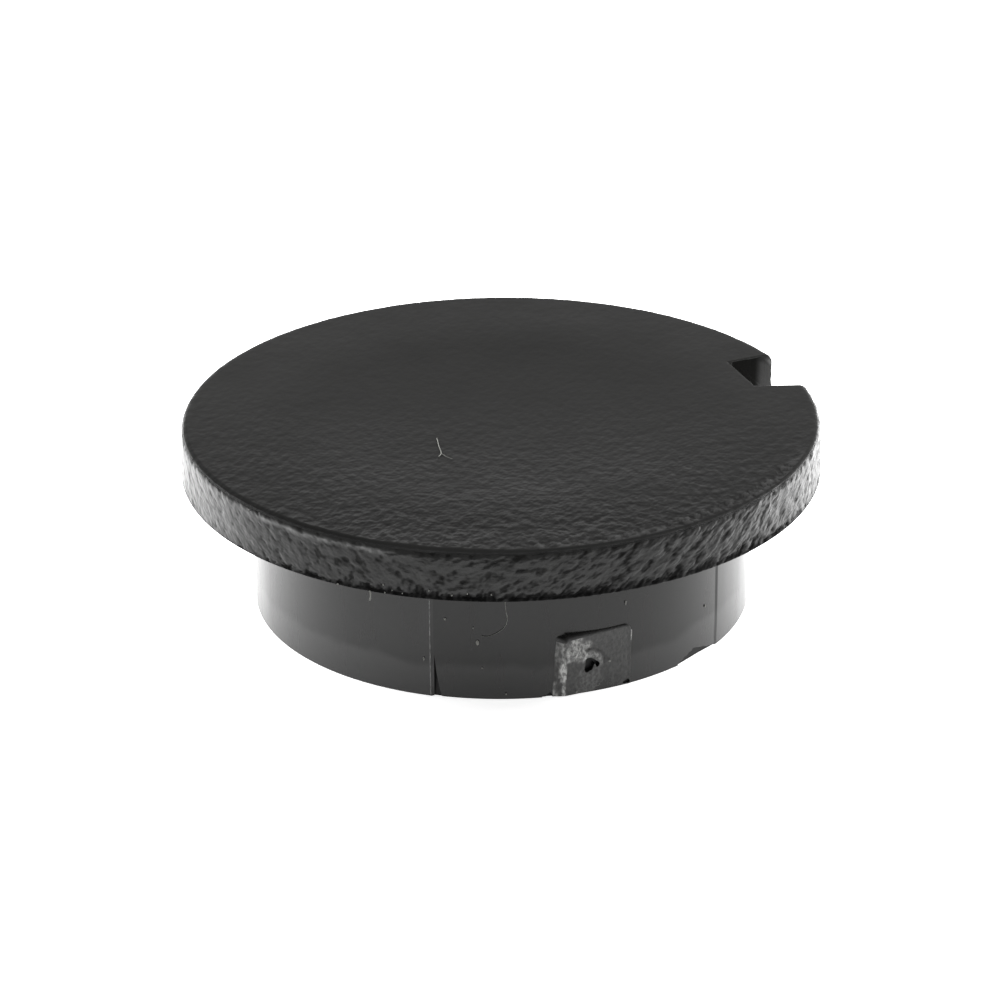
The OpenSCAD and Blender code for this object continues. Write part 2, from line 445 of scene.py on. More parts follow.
# Beads along the rim's upper edge, on the top's side to the right and below the fillet to the left, each
# with a painted highlight; the left ones are only painted highlight, with no relief
beads = {
    "height": 0.045,
    "pitch": 0.26,
    "from": (-0.02, 0.18),  # heights of the noise at which a bead begins and is full
    "sheen": 3.5,
    "topBand": (-0.6, -0.4),            # mm from the fillet
    "topSpan": (-4, 8, 62, 78),         # degrees from the photographed side
    "lowBand": (0.26, 0.34, 0.46, 0.56),  # mm below the top
    "lowSpan": (-54, -44, -24, -16),
    "lowSheen": (0.45, 0.8),            # share of the sheen between the beads and on them
    "reach": 0.3,                       # mm below the fillet down to which there are any
}

# Painted shade and painted highlights: share of the sheen that is lost at each place; what is less than 0
# shines more, as a painted highlight
paintedLight = {
    # painted shade in the torn band along the rim's lower edge
    "torn": 0.92,
    # painted shade in the grain's hollows on the top and on the rim
    "top": 0.12,
    "rim": 0.3,
    "foot": 0.4,            # painted shade towards the rim's lower edge
    "footFrom": (0.6, 0.1),
    "frontEdge": -0.45,     # painted highlight along the top's front edge
    "frontFrom": (0.78, 0.92),
    # painted shade on the rim's far left
    "farLeft": 0.3,
    "farLeftFrom": (-62, -80),
    "paleLine": -0.9,       # painted highlight: a line of stronger sheen under the torn band
    "paleSpan": (0, 12, 45, 60),
    "paleTop": 0.03,
    # painted shade on the fillet, to the left
    "fillet": 0.35,
    "filletFrom": (-12, -30),
}

notch = {
    "depth": 2.75,
    "width": 3.3,
    "offset": 0.3,
    "flareLeft": math.radians(2),
    "flareRight": math.radians(19),
    "corner": 0.3,
    "lip": 0.08,            # round of the notch's upper edges
    "shade": 0.08,          # what is left of the flank's sheen at the inner end, and where the painted shade ends
    "shadeFrom": (1.5, 2.0),
    "reach": 2.0,           # how far the cutter runs past the rim
    "spare": 1.0,           # and past the seat and the top
}
notch["innerX"] = body["flangeR"] - notch["depth"]
notch["leftY"] = notch["offset"] + notch["width"] / 2
notch["rightY"] = notch["offset"] - notch["width"] / 2


looks = {
    "grained": grainedRubber(),
    "smooth": smoothRubber("skirt"),
    "insert": smoothRubber("insert"),
    "notch": smoothRubber("notch"),
    "torn": tornRubber(),
    "raw": plainMaterial("torn_rubber_raw", rawShadeLook),
    "lint": plainMaterial("cotton_lint", lintLook),
}
print(len(looks), "materials")


# Distance in plan from a point outside the notch to its outline
def notchDistance(x, y):
    along = x - notch["innerX"]
    fromEnd = -along
    left, right = notch["flareLeft"], notch["flareRight"]
    fromLeft = (y - notch["leftY"] - along * math.tan(left)) * math.cos(left)
    fromRight = (notch["rightY"] - along * math.tan(right) - y) * math.cos(right)
    side = max(fromLeft, fromRight)
    if fromEnd > 0 and side > 0:
        return math.hypot(fromEnd, side)
    return max(fromEnd, side)


def dishHeight(r):
    total = (body["dishR"] ** 2 + body["dishDepth"] ** 2) / (2 * body["dishDepth"])
    bowl = total - body["dishShoulder"]
    if r < body["dishR"] * bowl / total:
        return body["topZ"] - body["dishDepth"] + bowl - math.sqrt(bowl ** 2 - r ** 2)
    rest = max(0.0, body["dishR"] - r)
    return body["topZ"] - body["dishShoulder"] + math.sqrt(body["dishShoulder"] ** 2 - rest ** 2)


def arcRings(centre, radius, start, end, steps):
    angles = [math.radians(start + (end - start) * i / steps) for i in range(1, steps + 1)]
    return [(centre[0] + radius * math.cos(a), centre[1] + radius * math.sin(a)) for a in angles]


def straightRings(start, end, steps):
    return [(start[0] + (end[0] - start[0]) * i / steps, start[1] + (end[1] - start[1]) * i / steps)
            for i in range(1, steps + 1)]


# Angle of a point from the photographed side, in degrees, with positive angles to the right
def fromFront(point):
    angle = math.atan2(point.y, point.x)
    return math.degrees((angle - body["front"] + math.pi) % (2 * math.pi) - math.pi)


def filletAt(point):
    phi = fromFront(point)
    r = body["filletBack"]
    front = (body["filletFront"] - r) * span(body["frontSpan"], phi)
    return r + front + (body["filletLeft"] - r) * span(body["leftSpan"], phi)


# Depth of the insert's face at a turn from its middle
def insertSunk(turn):
    return between(*body["insertStep"], (turn / body["insertHalf"] + 1) / 2)


# A point of the rim, moved round by as much as the strokes lean at its height
def leaning(point):
    lean = between(*grain["lean"], smooth(*grain["leanFrom"], point.dot(toRight)))
    around = Vector((-point.y, point.x, 0)) / body["flangeR"]
    return point - around * lean * (point.z - rimMid)


# Share of the grain's depth at a point
def grainShare(point, onRim):
    if onRim:
        p = leaning(point) / grain["pitch"]
        p.z /= grain["rimLength"]
    else:
        lie = polar(1, grain["lie"])
        p = point / grain["pitch"]
        p = p - lie * p.dot(lie) * (1 - 1 / grain["stretch"])
    pebble = noise.noise(p) + grain["fineShare"] * noise.noise(p * grain["fineScale"])
    return min(1.0, max(0.0, 0.5 + grain["contrast"] * pebble))


# Share of the torn band's depth at a point: it eats into the rim's lower edge along the strokes
def raggedShare(point):
    p = leaning(point) / ragged["pitch"]
    p.z *= 0.5
    coarse, fine = noise.noise(p), noise.noise(p * 2.3)
    height = ragged["height"] * between(ragged["sideShare"], 1, span(ragged["frontSpan"], fromFront(point)))
    edge = max(ragged["least"], height * (0.8 + 0.8 * coarse + 0.4 * fine))
    return smooth(edge, 0.65 * edge, point.z - body["seatZ"]) * min(1.0, 0.85 + 0.5 * fine)


# Share of the beads' painted highlight at a point, and share of the hollows between them
def beadShare(point):
    phi = fromFront(point)
    bead = smooth(*beads["from"], noise.noise(Vector((point.x, point.y, 3.0)) / beads["pitch"]))
    past = point.xy.length - body["topR"]
    if past < 0.1:
        band = smooth(*beads["topBand"], past) * span(beads["topSpan"], phi)
        return band * bead, band * (1 - bead)
    band = span(beads["lowBand"], body["topZ"] - point.z) * span(beads["lowSpan"], phi)
    return band * between(*beads["lowSheen"], bead), 0.0


# The top starts as a square grid, turned into a disc ring by ring
def addTop(bm):
    grainOf = bm.verts.layers.float["grain"]
    bmesh.ops.create_grid(bm, x_segments=body["gridCells"], y_segments=body["gridCells"], size=1)
    for v in bm.verts:
        x, y = v.co.x, v.co.y
        ring = max(abs(x), abs(y))
        if ring == 0:
            turn = 0.0
        elif abs(x) >= abs(y):
            turn = math.pi / 4 * y / x + (math.pi if x < 0 else 0)
        else:
            turn = math.pi / 2 - math.pi / 4 * x / y + (math.pi if y < 0 else 0)
        v.co = polar(body["topR"] * ring, turn, dishHeight(body["topR"] * ring))
        v[grainOf] = grain["onTop"]
    # Finer faces along the notch, for its rounded lip
    near = 2 * notch["lip"]
    lipEdges = [e for e in bm.edges if all(abs(notchDistance(*v.co.xy)) < near for v in e.verts)]
    bmesh.ops.subdivide_edges(bm, edges=lipEdges, cuts=2, use_grid_fill=True)


# Rings of the rim and its lower edge, by radius and height, each with its share of the grain
def rimRings():
    fillet, draft, edge = body["rimFillet"], body["rimDraft"], body["lowerEdge"]
    centre = (body["topR"], body["rimTop"])
    wallTop = (centre[0] + fillet * math.cos(draft), centre[1] + fillet * math.sin(draft))
    wallFoot = (body["flangeR"] - body["rimInset"], body["seatZ"] + edge)
    bandTop = (wallFoot[0] - (ragged["height"] - edge) * math.tan(draft), body["seatZ"] + ragged["height"])
    rows = round((wallTop[1] - bandTop[1]) / body["rimStep"])
    onFillet = arcRings(centre, fillet, 90, body["fold"], 3)
    onRim = arcRings(centre, fillet, body["fold"], math.degrees(draft), 3)
    onRim += straightRings(wallTop, bandTop, rows)
    onRim += straightRings(bandTop, wallFoot, 5)
    onRim += arcRings((wallFoot[0] - edge, wallFoot[1]), edge, 0, -90, 2)
    return [(*p, grain["onFillet"]) for p in onFillet] + [(*p, grain["onRim"]) for p in onRim]


# Rings of the seat, the skirt and the hollow, which have no grain
def skirtRings():
    seatOuter = (body["flangeR"] - body["rimInset"] - body["lowerEdge"], body["seatZ"])
    skirtTop = (body["skirtR"], body["seatZ"])
    leadTop = (body["skirtR"], body["leadInH"])
    foot = (body["footR"], 0.0)
    innerFoot = (body["hollowR"], 0.0)
    fillet, draft = body["hollowFillet"], body["hollowDraft"]
    ceiling = body["topZ"] - body["dishDepth"] - body["webT"]
    wallH = ceiling - fillet
    ceilingR = body["hollowR"] - (fillet + wallH * math.sin(draft)) / math.cos(draft)
    wallEnd = (ceilingR + fillet * math.cos(draft), wallH + fillet * math.sin(draft))
    points = straightRings(seatOuter, skirtTop, 2)
    points += straightRings(skirtTop, leadTop, 4)
    points += straightRings(leadTop, foot, 3)
    points += straightRings(foot, innerFoot, 2)
    points += straightRings(innerFoot, wallEnd, 2)
    points += arcRings((ceilingR, wallH), fillet, math.degrees(draft), 90, 5)
    points += [(ceilingR * 0.1, ceiling)]
    return [(*p, 0.0) for p in points]


def addRings(bm, rings):
    grainOf = bm.verts.layers.float["grain"]
    sideOf = bm.verts.layers.float["side"]
    edges = [e for e in bm.edges if e.is_boundary]
    for r, z, share in rings:
        result = bmesh.ops.extrude_edge_only(bm, edges=edges)
        for v in newVerts(result):
            v.co = polar(r, math.atan2(v.co.y, v.co.x), z)
            v[grainOf] = share
            v[sideOf] = 1.0 if share == grain["onRim"] else 0.0
        edges = newEdges(result)
    cap = bmesh.ops.contextual_create(bm, geom=edges)["faces"]
    bmesh.ops.poke(bm, faces=cap)


# The rim's upper edge is sharper in some places than in others
def varyFillet(bm):
    fillet, topR, rimTop = body["rimFillet"], body["topR"], body["rimTop"]
    inner = topR - body["edgeRing"]
    for v in bm.verts:
        r, angle = v.co.xy.length, math.atan2(v.co.y, v.co.x)
        if v.co.z < rimTop or r < inner:
            continue
        change = fillet - filletAt(v.co)
        if r <= topR + tiny:
            v.co = polar(r + change * smooth(inner, topR, r), angle, v.co.z)
        else:
            outward = change * (1 - min(1.0, (r - topR) / fillet))
            upward = change * (1 - min(1.0, (v.co.z - rimTop) / fillet))
            v.co = polar(r + outward, angle, v.co.z + upward)


# Face of the side insert, a small step below the rest of the skirt, over a steep edge on both sides
def sinkInsert(bm):
    scuffAndHighlightOf = bm.verts.layers.float["scuff"]
    column = 2 * math.pi / (4 * body["gridCells"])
    skin = body["hollowR"] + 0.9 * body["wall"]
    for v in bm.verts:
        r = math.hypot(v.co.x, v.co.y)
        turn = math.atan2(v.co.y, v.co.x) - body["gateSide"]
        beyond = abs(turn) - body["insertHalf"]
        onSkirt = v.co.z < body["seatZ"] + tiny and skin < r < body["skirtR"] + tiny
        edgeSide = 0 if turn < 0 else 1
        # Painted highlight: a pale band along the insert's left edge, on and beside the raised line
        if onSkirt and edgeSide == 0 and 0 < beyond < 2.2 * column:
            v[scuffAndHighlightOf] = body["burrScuff"]
        if not onSkirt or beyond > column:
            continue
        if abs(beyond) < column:
            beyond = math.copysign(body["insertRun"][edgeSide] / 2 / body["skirtR"], beyond)
        sunk = insertSunk(turn)
        if beyond > 0:
            sunk = -body["burr"][edgeSide] * smooth(0, body["burrFade"], body["seatZ"] - v.co.z)
        v.co = polar(r - sunk, math.copysign(body["insertHalf"] + beyond, turn) + body["gateSide"], v.co.z)


# Grain, ragged lower edge, beads and the notch's lip, with the painted shade and highlights that the sunk
# attribute carries
def addGrain(bm):
    grainOf = bm.verts.layers.float["grain"]
    sideOf = bm.verts.layers.float["side"]
    paintedLightOf = bm.verts.layers.float["sunk"]
    moves = []
    smoothest = polar(1, grain["wornSide"])
    towardsFront = polar(1, body["front"])
    for v in bm.verts:
        share = v[grainOf]
        if share == 0:
            continue
        phi = fromFront(v.co)
        above = v.co.z - body["seatZ"]
        forward = v.co.dot(towardsFront) / body["flangeR"]
        onTop = abs(share - grain["onTop"]) < tiny
        onRim = v[sideOf] > 0.5
        if onTop:
            worn = v.co.dot(smoothest) / body["flangeR"]
            share *= between(grain["worn"], 1, smooth(*grain["wornFrom"], worn))
            share *= 1 + grain["frontGain"] * smooth(*grain["frontFrom"], forward)
        if onRim:
            share *= between(grain["leftRim"], 1, smooth(*grain["leftFrom"], phi))
        valley = share * grainShare(v.co, onRim)
        torn = raggedShare(v.co) if above < 1.6 * ragged["height"] else 0.0
        sink = valley * grain["depth"] * (grain["topDepth"] if onTop else 1) + torn * ragged["depth"]
        sink *= smooth(*grain["footFade"], above)
        # Painted shade and painted highlights, kept in the sunk attribute for the shader
        dark = max(paintedLight["torn"] * torn, (paintedLight["top"] if onTop else paintedLight["rim"]) * valley,
                   paintedLight["foot"] * smooth(*paintedLight["footFrom"], above))
        if onTop:
            dark += paintedLight["frontEdge"] * smooth(*paintedLight["frontFrom"], forward)
        elif onRim:
            dark += paintedLight["farLeft"] * smooth(*paintedLight["farLeftFrom"], phi)
        else:
            dark = max(dark, paintedLight["fillet"] * smooth(*paintedLight["filletFrom"], phi))
        if above < paintedLight["paleTop"]:
            dark += paintedLight["paleLine"] * span(paintedLight["paleSpan"], phi)
        if v.co.z > body["rimTop"] - beads["reach"]:
            shine, hollow = beadShare(v.co)
            sink += beads["height"] * hollow
            # painted highlight on the beads
            dark -= beads["sheen"] * shine
        v[paintedLightOf] = dark
        v[grainOf] = share
        gap = max(0.0, notchDistance(v.co.x, v.co.y))
        if gap < notch["lip"]:
            sink += notch["lip"] - math.sqrt(notch["lip"] ** 2 - (notch["lip"] - gap) ** 2)
        moves.append((v, v.normal * sink))
    for v, move in moves:
        v.co = v.co - move


def makeBody():
    bm = bmesh.new()
    for name in ("grain", "side", "sunk", "scuff"):
        bm.verts.layers.float.new(name)
    addTop(bm)
    addRings(bm, rimRings() + skirtRings())
    varyFillet(bm)
    bmesh.ops.recalc_face_normals(bm, faces=bm.faces)
    bm.normal_update()
    sinkInsert(bm)
    addGrain(bm)
    return meshObject("plug_body", bm, (looks["grained"], looks["smooth"], looks["insert"]))


def makeNotchCutter():
    bm = bmesh.new()
    inner, outer = notch["innerX"], body["flangeR"] + notch["reach"]
    run = outer - inner
    plan = [
        (inner, notch["leftY"]),
        (inner, notch["rightY"]),
        (outer, notch["rightY"] - run * math.tan(notch["flareRight"])),
        (outer, notch["leftY"] + run * math.tan(notch["flareLeft"])),
    ]
    floorZ, topZ = body["seatZ"] - notch["spare"], body["topZ"] + notch["spare"]
    face = bm.faces.new([bm.verts.new((x, y, floorZ)) for x, y in plan])
    result = bmesh.ops.extrude_face_region(bm, geom=[face])
    bmesh.ops.translate(bm, vec=(0, 0, topZ - floorZ), verts=newVerts(result))
    corners = [e for e in bm.edges
               if all(abs(v.co.x - inner) < tiny for v in e.verts)
               and abs(e.verts[0].co.z - e.verts[1].co.z) > 1]
    bmesh.ops.bevel(bm, geom=corners, offset=notch["corner"], offset_type="OFFSET", affect="EDGES",
                    segments=6, profile=0.5, material=-1)
    return meshObject("notch_cutter", bm, (looks["notch"],))


# Gate pad on the insert's face: a leaning, twisted face between two flanks, with the torn gate in it
pad = {
    "leftTop": (-1.55, 12.85),    # x and radius of the face's corners
    "leftFoot": (-1.5, 12.56),
    "rightTop": (1.92, 12.58),
    "rightFoot": (1.85, 12.49),
    "low": 0.03,
    "high": 3.3,
    "cornerLeft": 0.1,      # round of the upper corners
    "cornerRight": 0.4,
    "edgeLeft": 0.26,       # round along the upper edge
    "edgeRight": 0.12,
    "flankTop": 0.5,        # width of the left flank
    "flankFoot": 0.9,
    "flankRight": 0.15,
    "flankBow": 1.4,        # how hollow the flanks are
    "flankShare": 0.1,      # share of the columns on each flank, and of the rows on the upper edge
    "edgeShare": 0.1,
    "rootR": 12.25,
    "backY": -11.7,
    "columns": 80,
    "rows": 70,
    "tornDepth": 0.11,
    "tornPitch": 0.2,
    "patch": (-0.95, 2.5),  # middle of the torn patch, and half its size
    "patchSize": (0.75, 0.78),
    "pit": (-0.3, 1.57),
    "pitR": 0.4,
    "lip": 0.06,            # height of the lip around the pit, and depth of the groove around the lip
    "lipSide": math.radians(65),
    "lipBand": (-0.1, 0.02, 0.2, 0.34),  # mm from the pit's edge
    "groove": 0.06,
    "grooveAt": 0.4,
    "grooveHalf": 0.08,
}

# Paleness of the pad's scuffed places, and painted highlights on its flanks: bright streaks on the left
# flank and a line along the right flank's top
scuff = {
    "face": 0.05,
    "patch": 0.75,
    "lip": 0.35,
    "streaks": 0.1,         # below the pit
    "streaksFrom": (1.6, 1.0),
    "streaksEdge": (0.9, 0.3),  # mm from the pit's middle
    # painted highlight along the top of the right flank
    "rightFlank": 0.8,
    "rightFrom": (0.8, 0.88),   # shares of the pad's height, as all below
    # painted highlights on the left flank: a plain sheen, brighter towards the top, and two bright streaks
    "leftFlank": 0.1,
    "leftTop": 0.25,
    "leftTopFrom": (0.5, 0.8),
    "ridges": 1.3,
    "innerAt": 0.13,        # mm from the face's edge to the inner ridge, its half width and its swelling
    "innerHalf": 0.05,
    "innerSwell": 0.11,
    "swellSpan": (0.24, 0.36, 0.5, 0.66),
    "innerTop": (0.72, 0.58),
    "innerAbove": 0.25,     # what is left of it above that
    "outerAt": 0.5,         # mm to the outer ridge, its slant, width and top
    "outerSlant": 0.3,
    "outerHalf": (0.1, 0.04),
    "outerTop": (0.42, 0.28),
    "outerShare": 0.6,
}


def padCorner(name):
    x, r = pad[name]
    return Vector((x, -math.sqrt(r * r - x * x)))


# Share of the torn patch at a point of the pad's front view
def tornPatch(x, z):
    (midX, midZ), (halfX, halfZ) = pad["patch"], pad["patchSize"]
    spread = math.hypot((x - midX) / halfX, (z - midZ) / halfZ)
    return smooth(1.15, 0.6, spread + 0.5 * noise.noise(Vector((x, 2, z)) * 2.5))


# Light lip that the tearing gate raised above and right of its pit, and the groove beyond it
def pitLip(x, z):
    fromPit = Vector((x - pad["pit"][0], z - pad["pit"][1]))
    gap = fromPit.length - pad["pitR"]
    upRight = smooth(-0.2, 0.6, math.cos(math.atan2(fromPit.y, fromPit.x) - pad["lipSide"]))
    groove = smooth(pad["grooveHalf"], 0.0, abs(gap - pad["grooveAt"]))
    return upRight * span(pad["lipBand"], gap), upRight * groove


# Relief of the torn face at a point of its front view, outwards
def tornRelief(x, z):
    rough = abs(noise.noise(Vector((x, 0, z * 0.8)) / pad["tornPitch"])) * 1.6
    fine = noise.noise(Vector((x * 1.6, 5, z)) / pad["tornPitch"] * 1.9)
    relief = -pad["tornDepth"] * between(0.15, 1, tornPatch(x, z)) * (rough + 0.4 * fine)
    lip, groove = pitLip(x, z)
    return relief + pad["lip"] * lip - pad["groove"] * groove


def faceScuff(x, z):
    streaks = smooth(*scuff["streaksFrom"], z) * smooth(*scuff["streaksEdge"], abs(x - pad["pit"][0]))
    pale = scuff["face"] + scuff["streaks"] * streaks
    return pale + scuff["patch"] * tornPatch(x, z) + scuff["lip"] * pitLip(x, z)[0]


# Painted highlight on the left flank: a sheen and two bright streaks, by the distance from the face's edge
# and the height
def flankHighlight(gap, rise):
    wide = scuff["innerHalf"] + scuff["innerSwell"] * span(scuff["swellSpan"], rise)
    inner = smooth(1.3 * wide, 0.6 * wide, abs(gap - scuff["innerAt"]))
    inner *= between(scuff["innerAbove"], 1, smooth(*scuff["innerTop"], rise))
    outer = smooth(*scuff["outerHalf"], abs(gap - scuff["outerAt"] - scuff["outerSlant"] * rise))
    outer *= scuff["outerShare"] * smooth(*scuff["outerTop"], rise)
    plain = scuff["leftFlank"] + scuff["leftTop"] * smooth(*scuff["leftTopFrom"], rise)
    return plain + scuff["ridges"] * max(inner, outer)


def makePad():
    bm = bmesh.new()
    scuffAndHighlightOf = bm.verts.layers.float.new("scuff")
    bmesh.ops.create_grid(bm, x_segments=pad["columns"], y_segments=pad["rows"], size=1)
    for v in bm.verts:
        across, up = (v.co.x + 1) / 2, (v.co.y + 1) / 2
        side = max(0.0, abs(v.co.x) - 1 + 2 * pad["flankShare"]) / (2 * pad["flankShare"])
        face = min(1.0, max(0.0, (across - pad["flankShare"]) / (1 - 2 * pad["flankShare"])))
        rise = min(1.0, up / (1 - pad["edgeShare"]))
        below = up < 1 - pad["edgeShare"]
        foot = padCorner("leftFoot").lerp(padCorner("rightFoot"), face)
        x, y = foot.lerp(padCorner("leftTop").lerp(padCorner("rightTop"), face), rise)
        # Round the upper corners and the upper edge
        edge = between(pad["edgeLeft"], pad["edgeRight"], face)
        corner, fromSide = pad["cornerLeft"], x - pad["leftTop"][0]
        if face >= 0.5:
            corner, fromSide = pad["cornerRight"], pad["rightTop"][0] - x
        inset = corner * (1 - min(1.0, max(0.0, fromSide) / corner))
        top = pad["high"] - edge - corner + math.sqrt(corner ** 2 - inset ** 2)
        turn = math.pi / 2 * max(0.0, up - 1 + pad["edgeShare"]) / pad["edgeShare"]
        z = between(pad["low"], top, rise) + edge * math.sin(turn)
        y += edge * (1 - math.cos(turn))
        if side == 0 and 0 < up and below:
            y -= tornRelief(x, z)
            v[scuffAndHighlightOf] = faceScuff(x, z)
        # Draw the flanks out to the skirt
        width = pad["flankRight"]
        if v.co.x < 0:
            width = between(pad["flankFoot"], pad["flankTop"], rise)
            if side > 0 and below:
                v[scuffAndHighlightOf] = flankHighlight(width * side, rise)
        elif side > 0:
            v[scuffAndHighlightOf] = scuff["rightFlank"] * smooth(*scuff["rightFrom"], rise)
        x += width * side * (1 if v.co.x > 0 else -1)
        y += (-math.sqrt(pad["rootR"] ** 2 - x * x) - y) * side ** pad["flankBow"]
        v.co = (x, y, z)
    result = bmesh.ops.extrude_edge_only(bm, edges=[e for e in bm.edges if e.is_boundary])
    for v in newVerts(result):
        v.co.y = pad["backY"]
    bmesh.ops.contextual_create(bm, geom=newEdges(result))
    return meshObject("gate_pad", bm, (looks["torn"],))


# Broken places along the foot: outline on the skirt by angle and height, depth at the foot and at the top
tears = {
    "split": {
        "outline": [(-126.2, -0.4), (-124.3, -0.4), (-124.4, 0.0), (-124.9, 0.35), (-125.6, 1.25),
                    (-126.1, 2.2)],
        "depth": (0.06, 0.3),
    },
    "chip": {
        "outline": [(-67.6, -0.4), (-53.6, -0.4), (-53.8, 0.03), (-55.2, 0.12), (-57.2, 0.22),
                    (-58.4, 0.34), (-59.6, 0.4), (-61.0, 0.5), (-62.3, 0.57), (-62.9, 0.47), (-63.8, 0.44),
                    (-64.4, 0.33), (-65.4, 0.3), (-65.8, 0.19), (-66.6, 0.17), (-67.3, 0.06)],
        "depth": (0.05, 0.26),
    },
    "nick_left": {
        "outline": [(-102.4, -0.4), (-99.8, -0.4), (-99.7, 0.1), (-100.2, 0.26), (-101.0, 0.15),
                    (-102.0, 0.04)],
        "depth": (0.06, 0.2),
    },
    "nick_right": {
        "outline": [(-83.0, 0.08), (-81.4, 0.08), (-81.3, 0.18), (-81.8, 0.3), (-82.5, 0.25),
                    (-83.0, 0.18)],
        "depth": (0.06, 0.14),
    },
    "gate_pit": {
        "outline": [(-92.56, 1.3), (-92.3, 1.15), (-91.7, 1.11), (-91.2, 1.18), (-90.7, 1.22),
                    (-90.4, 1.34), (-90.24, 1.51), (-89.96, 1.5), (-89.8, 1.39), (-89.56, 1.3),
                    (-89.1, 1.36), (-88.9, 1.48), (-89.2, 1.61), (-90.1, 1.75), (-91.0, 1.89),
                    (-91.97, 1.93), (-92.3, 1.77), (-92.4, 1.51)],
        "depth": (0.2, 0.2),
    },
}
tearFront = 13.0  # mm, radius of the cutters' outer faces


def makeTear(name):
    tear = tears[name]
    high = max(z for angle, z in tear["outline"])
    bm = bmesh.new()
    verts = [bm.verts.new(polar(tearFront, math.radians(angle), z)) for angle, z in tear["outline"]]
    result = bmesh.ops.extrude_face_region(bm, geom=[bm.faces.new(verts)])
    for v in newVerts(result):
        depth = between(*tear["depth"], min(1.0, max(0.0, v.co.z / high)))
        v.co = polar(body["skirtR"] - body["insertStep"][0] - depth, math.atan2(v.co.y, v.co.x), v.co.z)
    return meshObject(name, bm, (looks["raw"],))


# Which rubber a face of the moulding has, by its centre in mm and its normal
def lookAt(centre, normal):
    slack = 0.01
    if centre.z > body["seatZ"] + slack:
        onNotch = notchDistance(centre.x, centre.y) < slack and abs(normal.z) < 0.5
        return "notch" if onNotch else "grained"
    if centre.xy.length <= body["skirtR"] - 0.5 * body["wall"]:
        return "smooth"
    turn = math.atan2(centre.y, centre.x) - body["gateSide"]
    pastLeft = (-turn - body["insertHalf"]) * body["skirtR"]
    # The band of painted highlight along the insert's left line takes the pale torn rubber
    if body["burrBand"][0] < pastLeft < body["burrBand"][1]:
        return "torn"
    return "insert" if abs(turn) < body["insertHalf"] else "smooth"


plug = makeBody()
combine(plug, makeNotchCutter(), "DIFFERENCE")
combine(plug, makePad(), "UNION")
for tearName in tears:
    combine(plug, makeTear(tearName), "DIFFERENCE")
print("plug with notch, pad and tears", len(plug.data.polygons), "faces")

plug.data.transform(Matrix.Scale(1 / toMm, 4))
plug.name = "plug_moulding"
slots = {name: plug.data.materials.find(look.name) for name, look in looks.items()}
for face in plug.data.polygons:
    if face.material_index not in (slots["torn"], slots["raw"]):
        face.material_index = slots[lookAt(face.center * toMm, face.normal)]
plug.data.shade_smooth()
plug.data.set_sharp_from_angle(angle=math.radians(42))
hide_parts("plug")
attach(plug, "root")


# Lint and dust that cling to the rubber: strands by points on the part, and flakes by place and half size
lint = {
    "strands": [
        {"skirt": [(-110.2, 5.3), (-110.0, 4.75), (-109.7, 4.36), (-110.1, 3.97), (-111.3, 3.68),
                   (-113.1, 3.45), (-114.4, 3.38), (-115.4, 3.42)], "r": 0.02},
        {"top": [(-3.72, -0.9), (-3.99, -1.95), (-4.17, -2.75), (-4.45, -3.1)], "r": 0.024},
        {"top": [(-4.17, -2.75), (-4.08, -3.25), (-3.9, -3.6)], "r": 0.012},
        {"rim": [(-133.5, 7.0), (-133.4, 6.75), (-133.6, 6.48)], "r": 0.04},
    ],
    "flakes": [
        {"skirt": (-116.3, 3.04), "size": (0.08, 0.14)},
        {"skirt": (-82.5, 4.41), "size": (0.04, 0.13)},
        {"skirt": (-86.7, 1.55), "size": (0.07, 0.05), "out": 0.12},
        {"skirt": (-94.4, 0.18), "size": (0.05, 0.05), "out": 0.1},
        {"skirt": (-58.3, 2.54), "size": (0.05, 0.08)},
        {"skirt": (-123.5, 4.19), "size": (0.06, 0.07)},
        {"skirt": (-128.3, 1.98), "size": (0.04, 0.1)},
        {"skirt": (-118.3, 6.6), "size": (0.05, 0.08)},
        {"skirt": (-117.2, 3.82), "size": (0.03, 0.05)},
        {"skirt": (-115.3, 1.69), "size": (0.03, 0.04)},
        {"skirt": (-110.1, 0.3), "size": (0.04, 0.04)},
        {"rim": (-131.1, 7.42), "size": (0.03, 0.05)},
        {"rim": (-129.5, 7.2), "size": (0.03, 0.03)},
        {"rim": (-130.8, 7.03), "size": (0.03, 0.05)},
        {"rim": (-127.7, 7.12), "size": (0.03, 0.04)},
        {"rim": (-123.1, 7.4), "size": (0.03, 0.05)},
        {"rim": (-119.2, 7.24), "size": (0.03, 0.05)},
        {"rim": (-116.6, 7.36), "size": (0.03, 0.05)},
        {"rim": (-112.6, 7.34), "size": (0.03, 0.05)},
        {"rim": (-139.6, 7.0), "size": (0.06, 0.04)},
        {"rim": (-159.6, 9.22), "size": (0.03, 0.05)},
    ],
    "lift": 0.035,          # height of a strand's middle above the rubber
    "sides": 6,
    "steps": 5,             # pieces between two points of a strand
    "flakeT": 0.03,         # half of a flake's thickness
}


# Which face of the plug a strand or flake lies on
def lintKind(piece):
    return [kind for kind in ("top", "rim", "skirt") if kind in piece][0]


def lintPlace(kind, point):
    if kind == "top":
        x, y = point
        return Vector((x, y, dishHeight(math.hypot(x, y)) + lint["lift"]))
    angle, z = math.radians(point[0]), point[1]
    if kind == "rim":
        return polar(body["flangeR"] - abs(z - body["seatZ"]) * math.tan(body["rimDraft"]), angle, z)
    turn = angle - body["gateSide"]
    sunk = insertSunk(turn) if abs(turn) < body["insertHalf"] else 0.0
    return polar(body["skirtR"] - sunk + lint["lift"], angle, z)


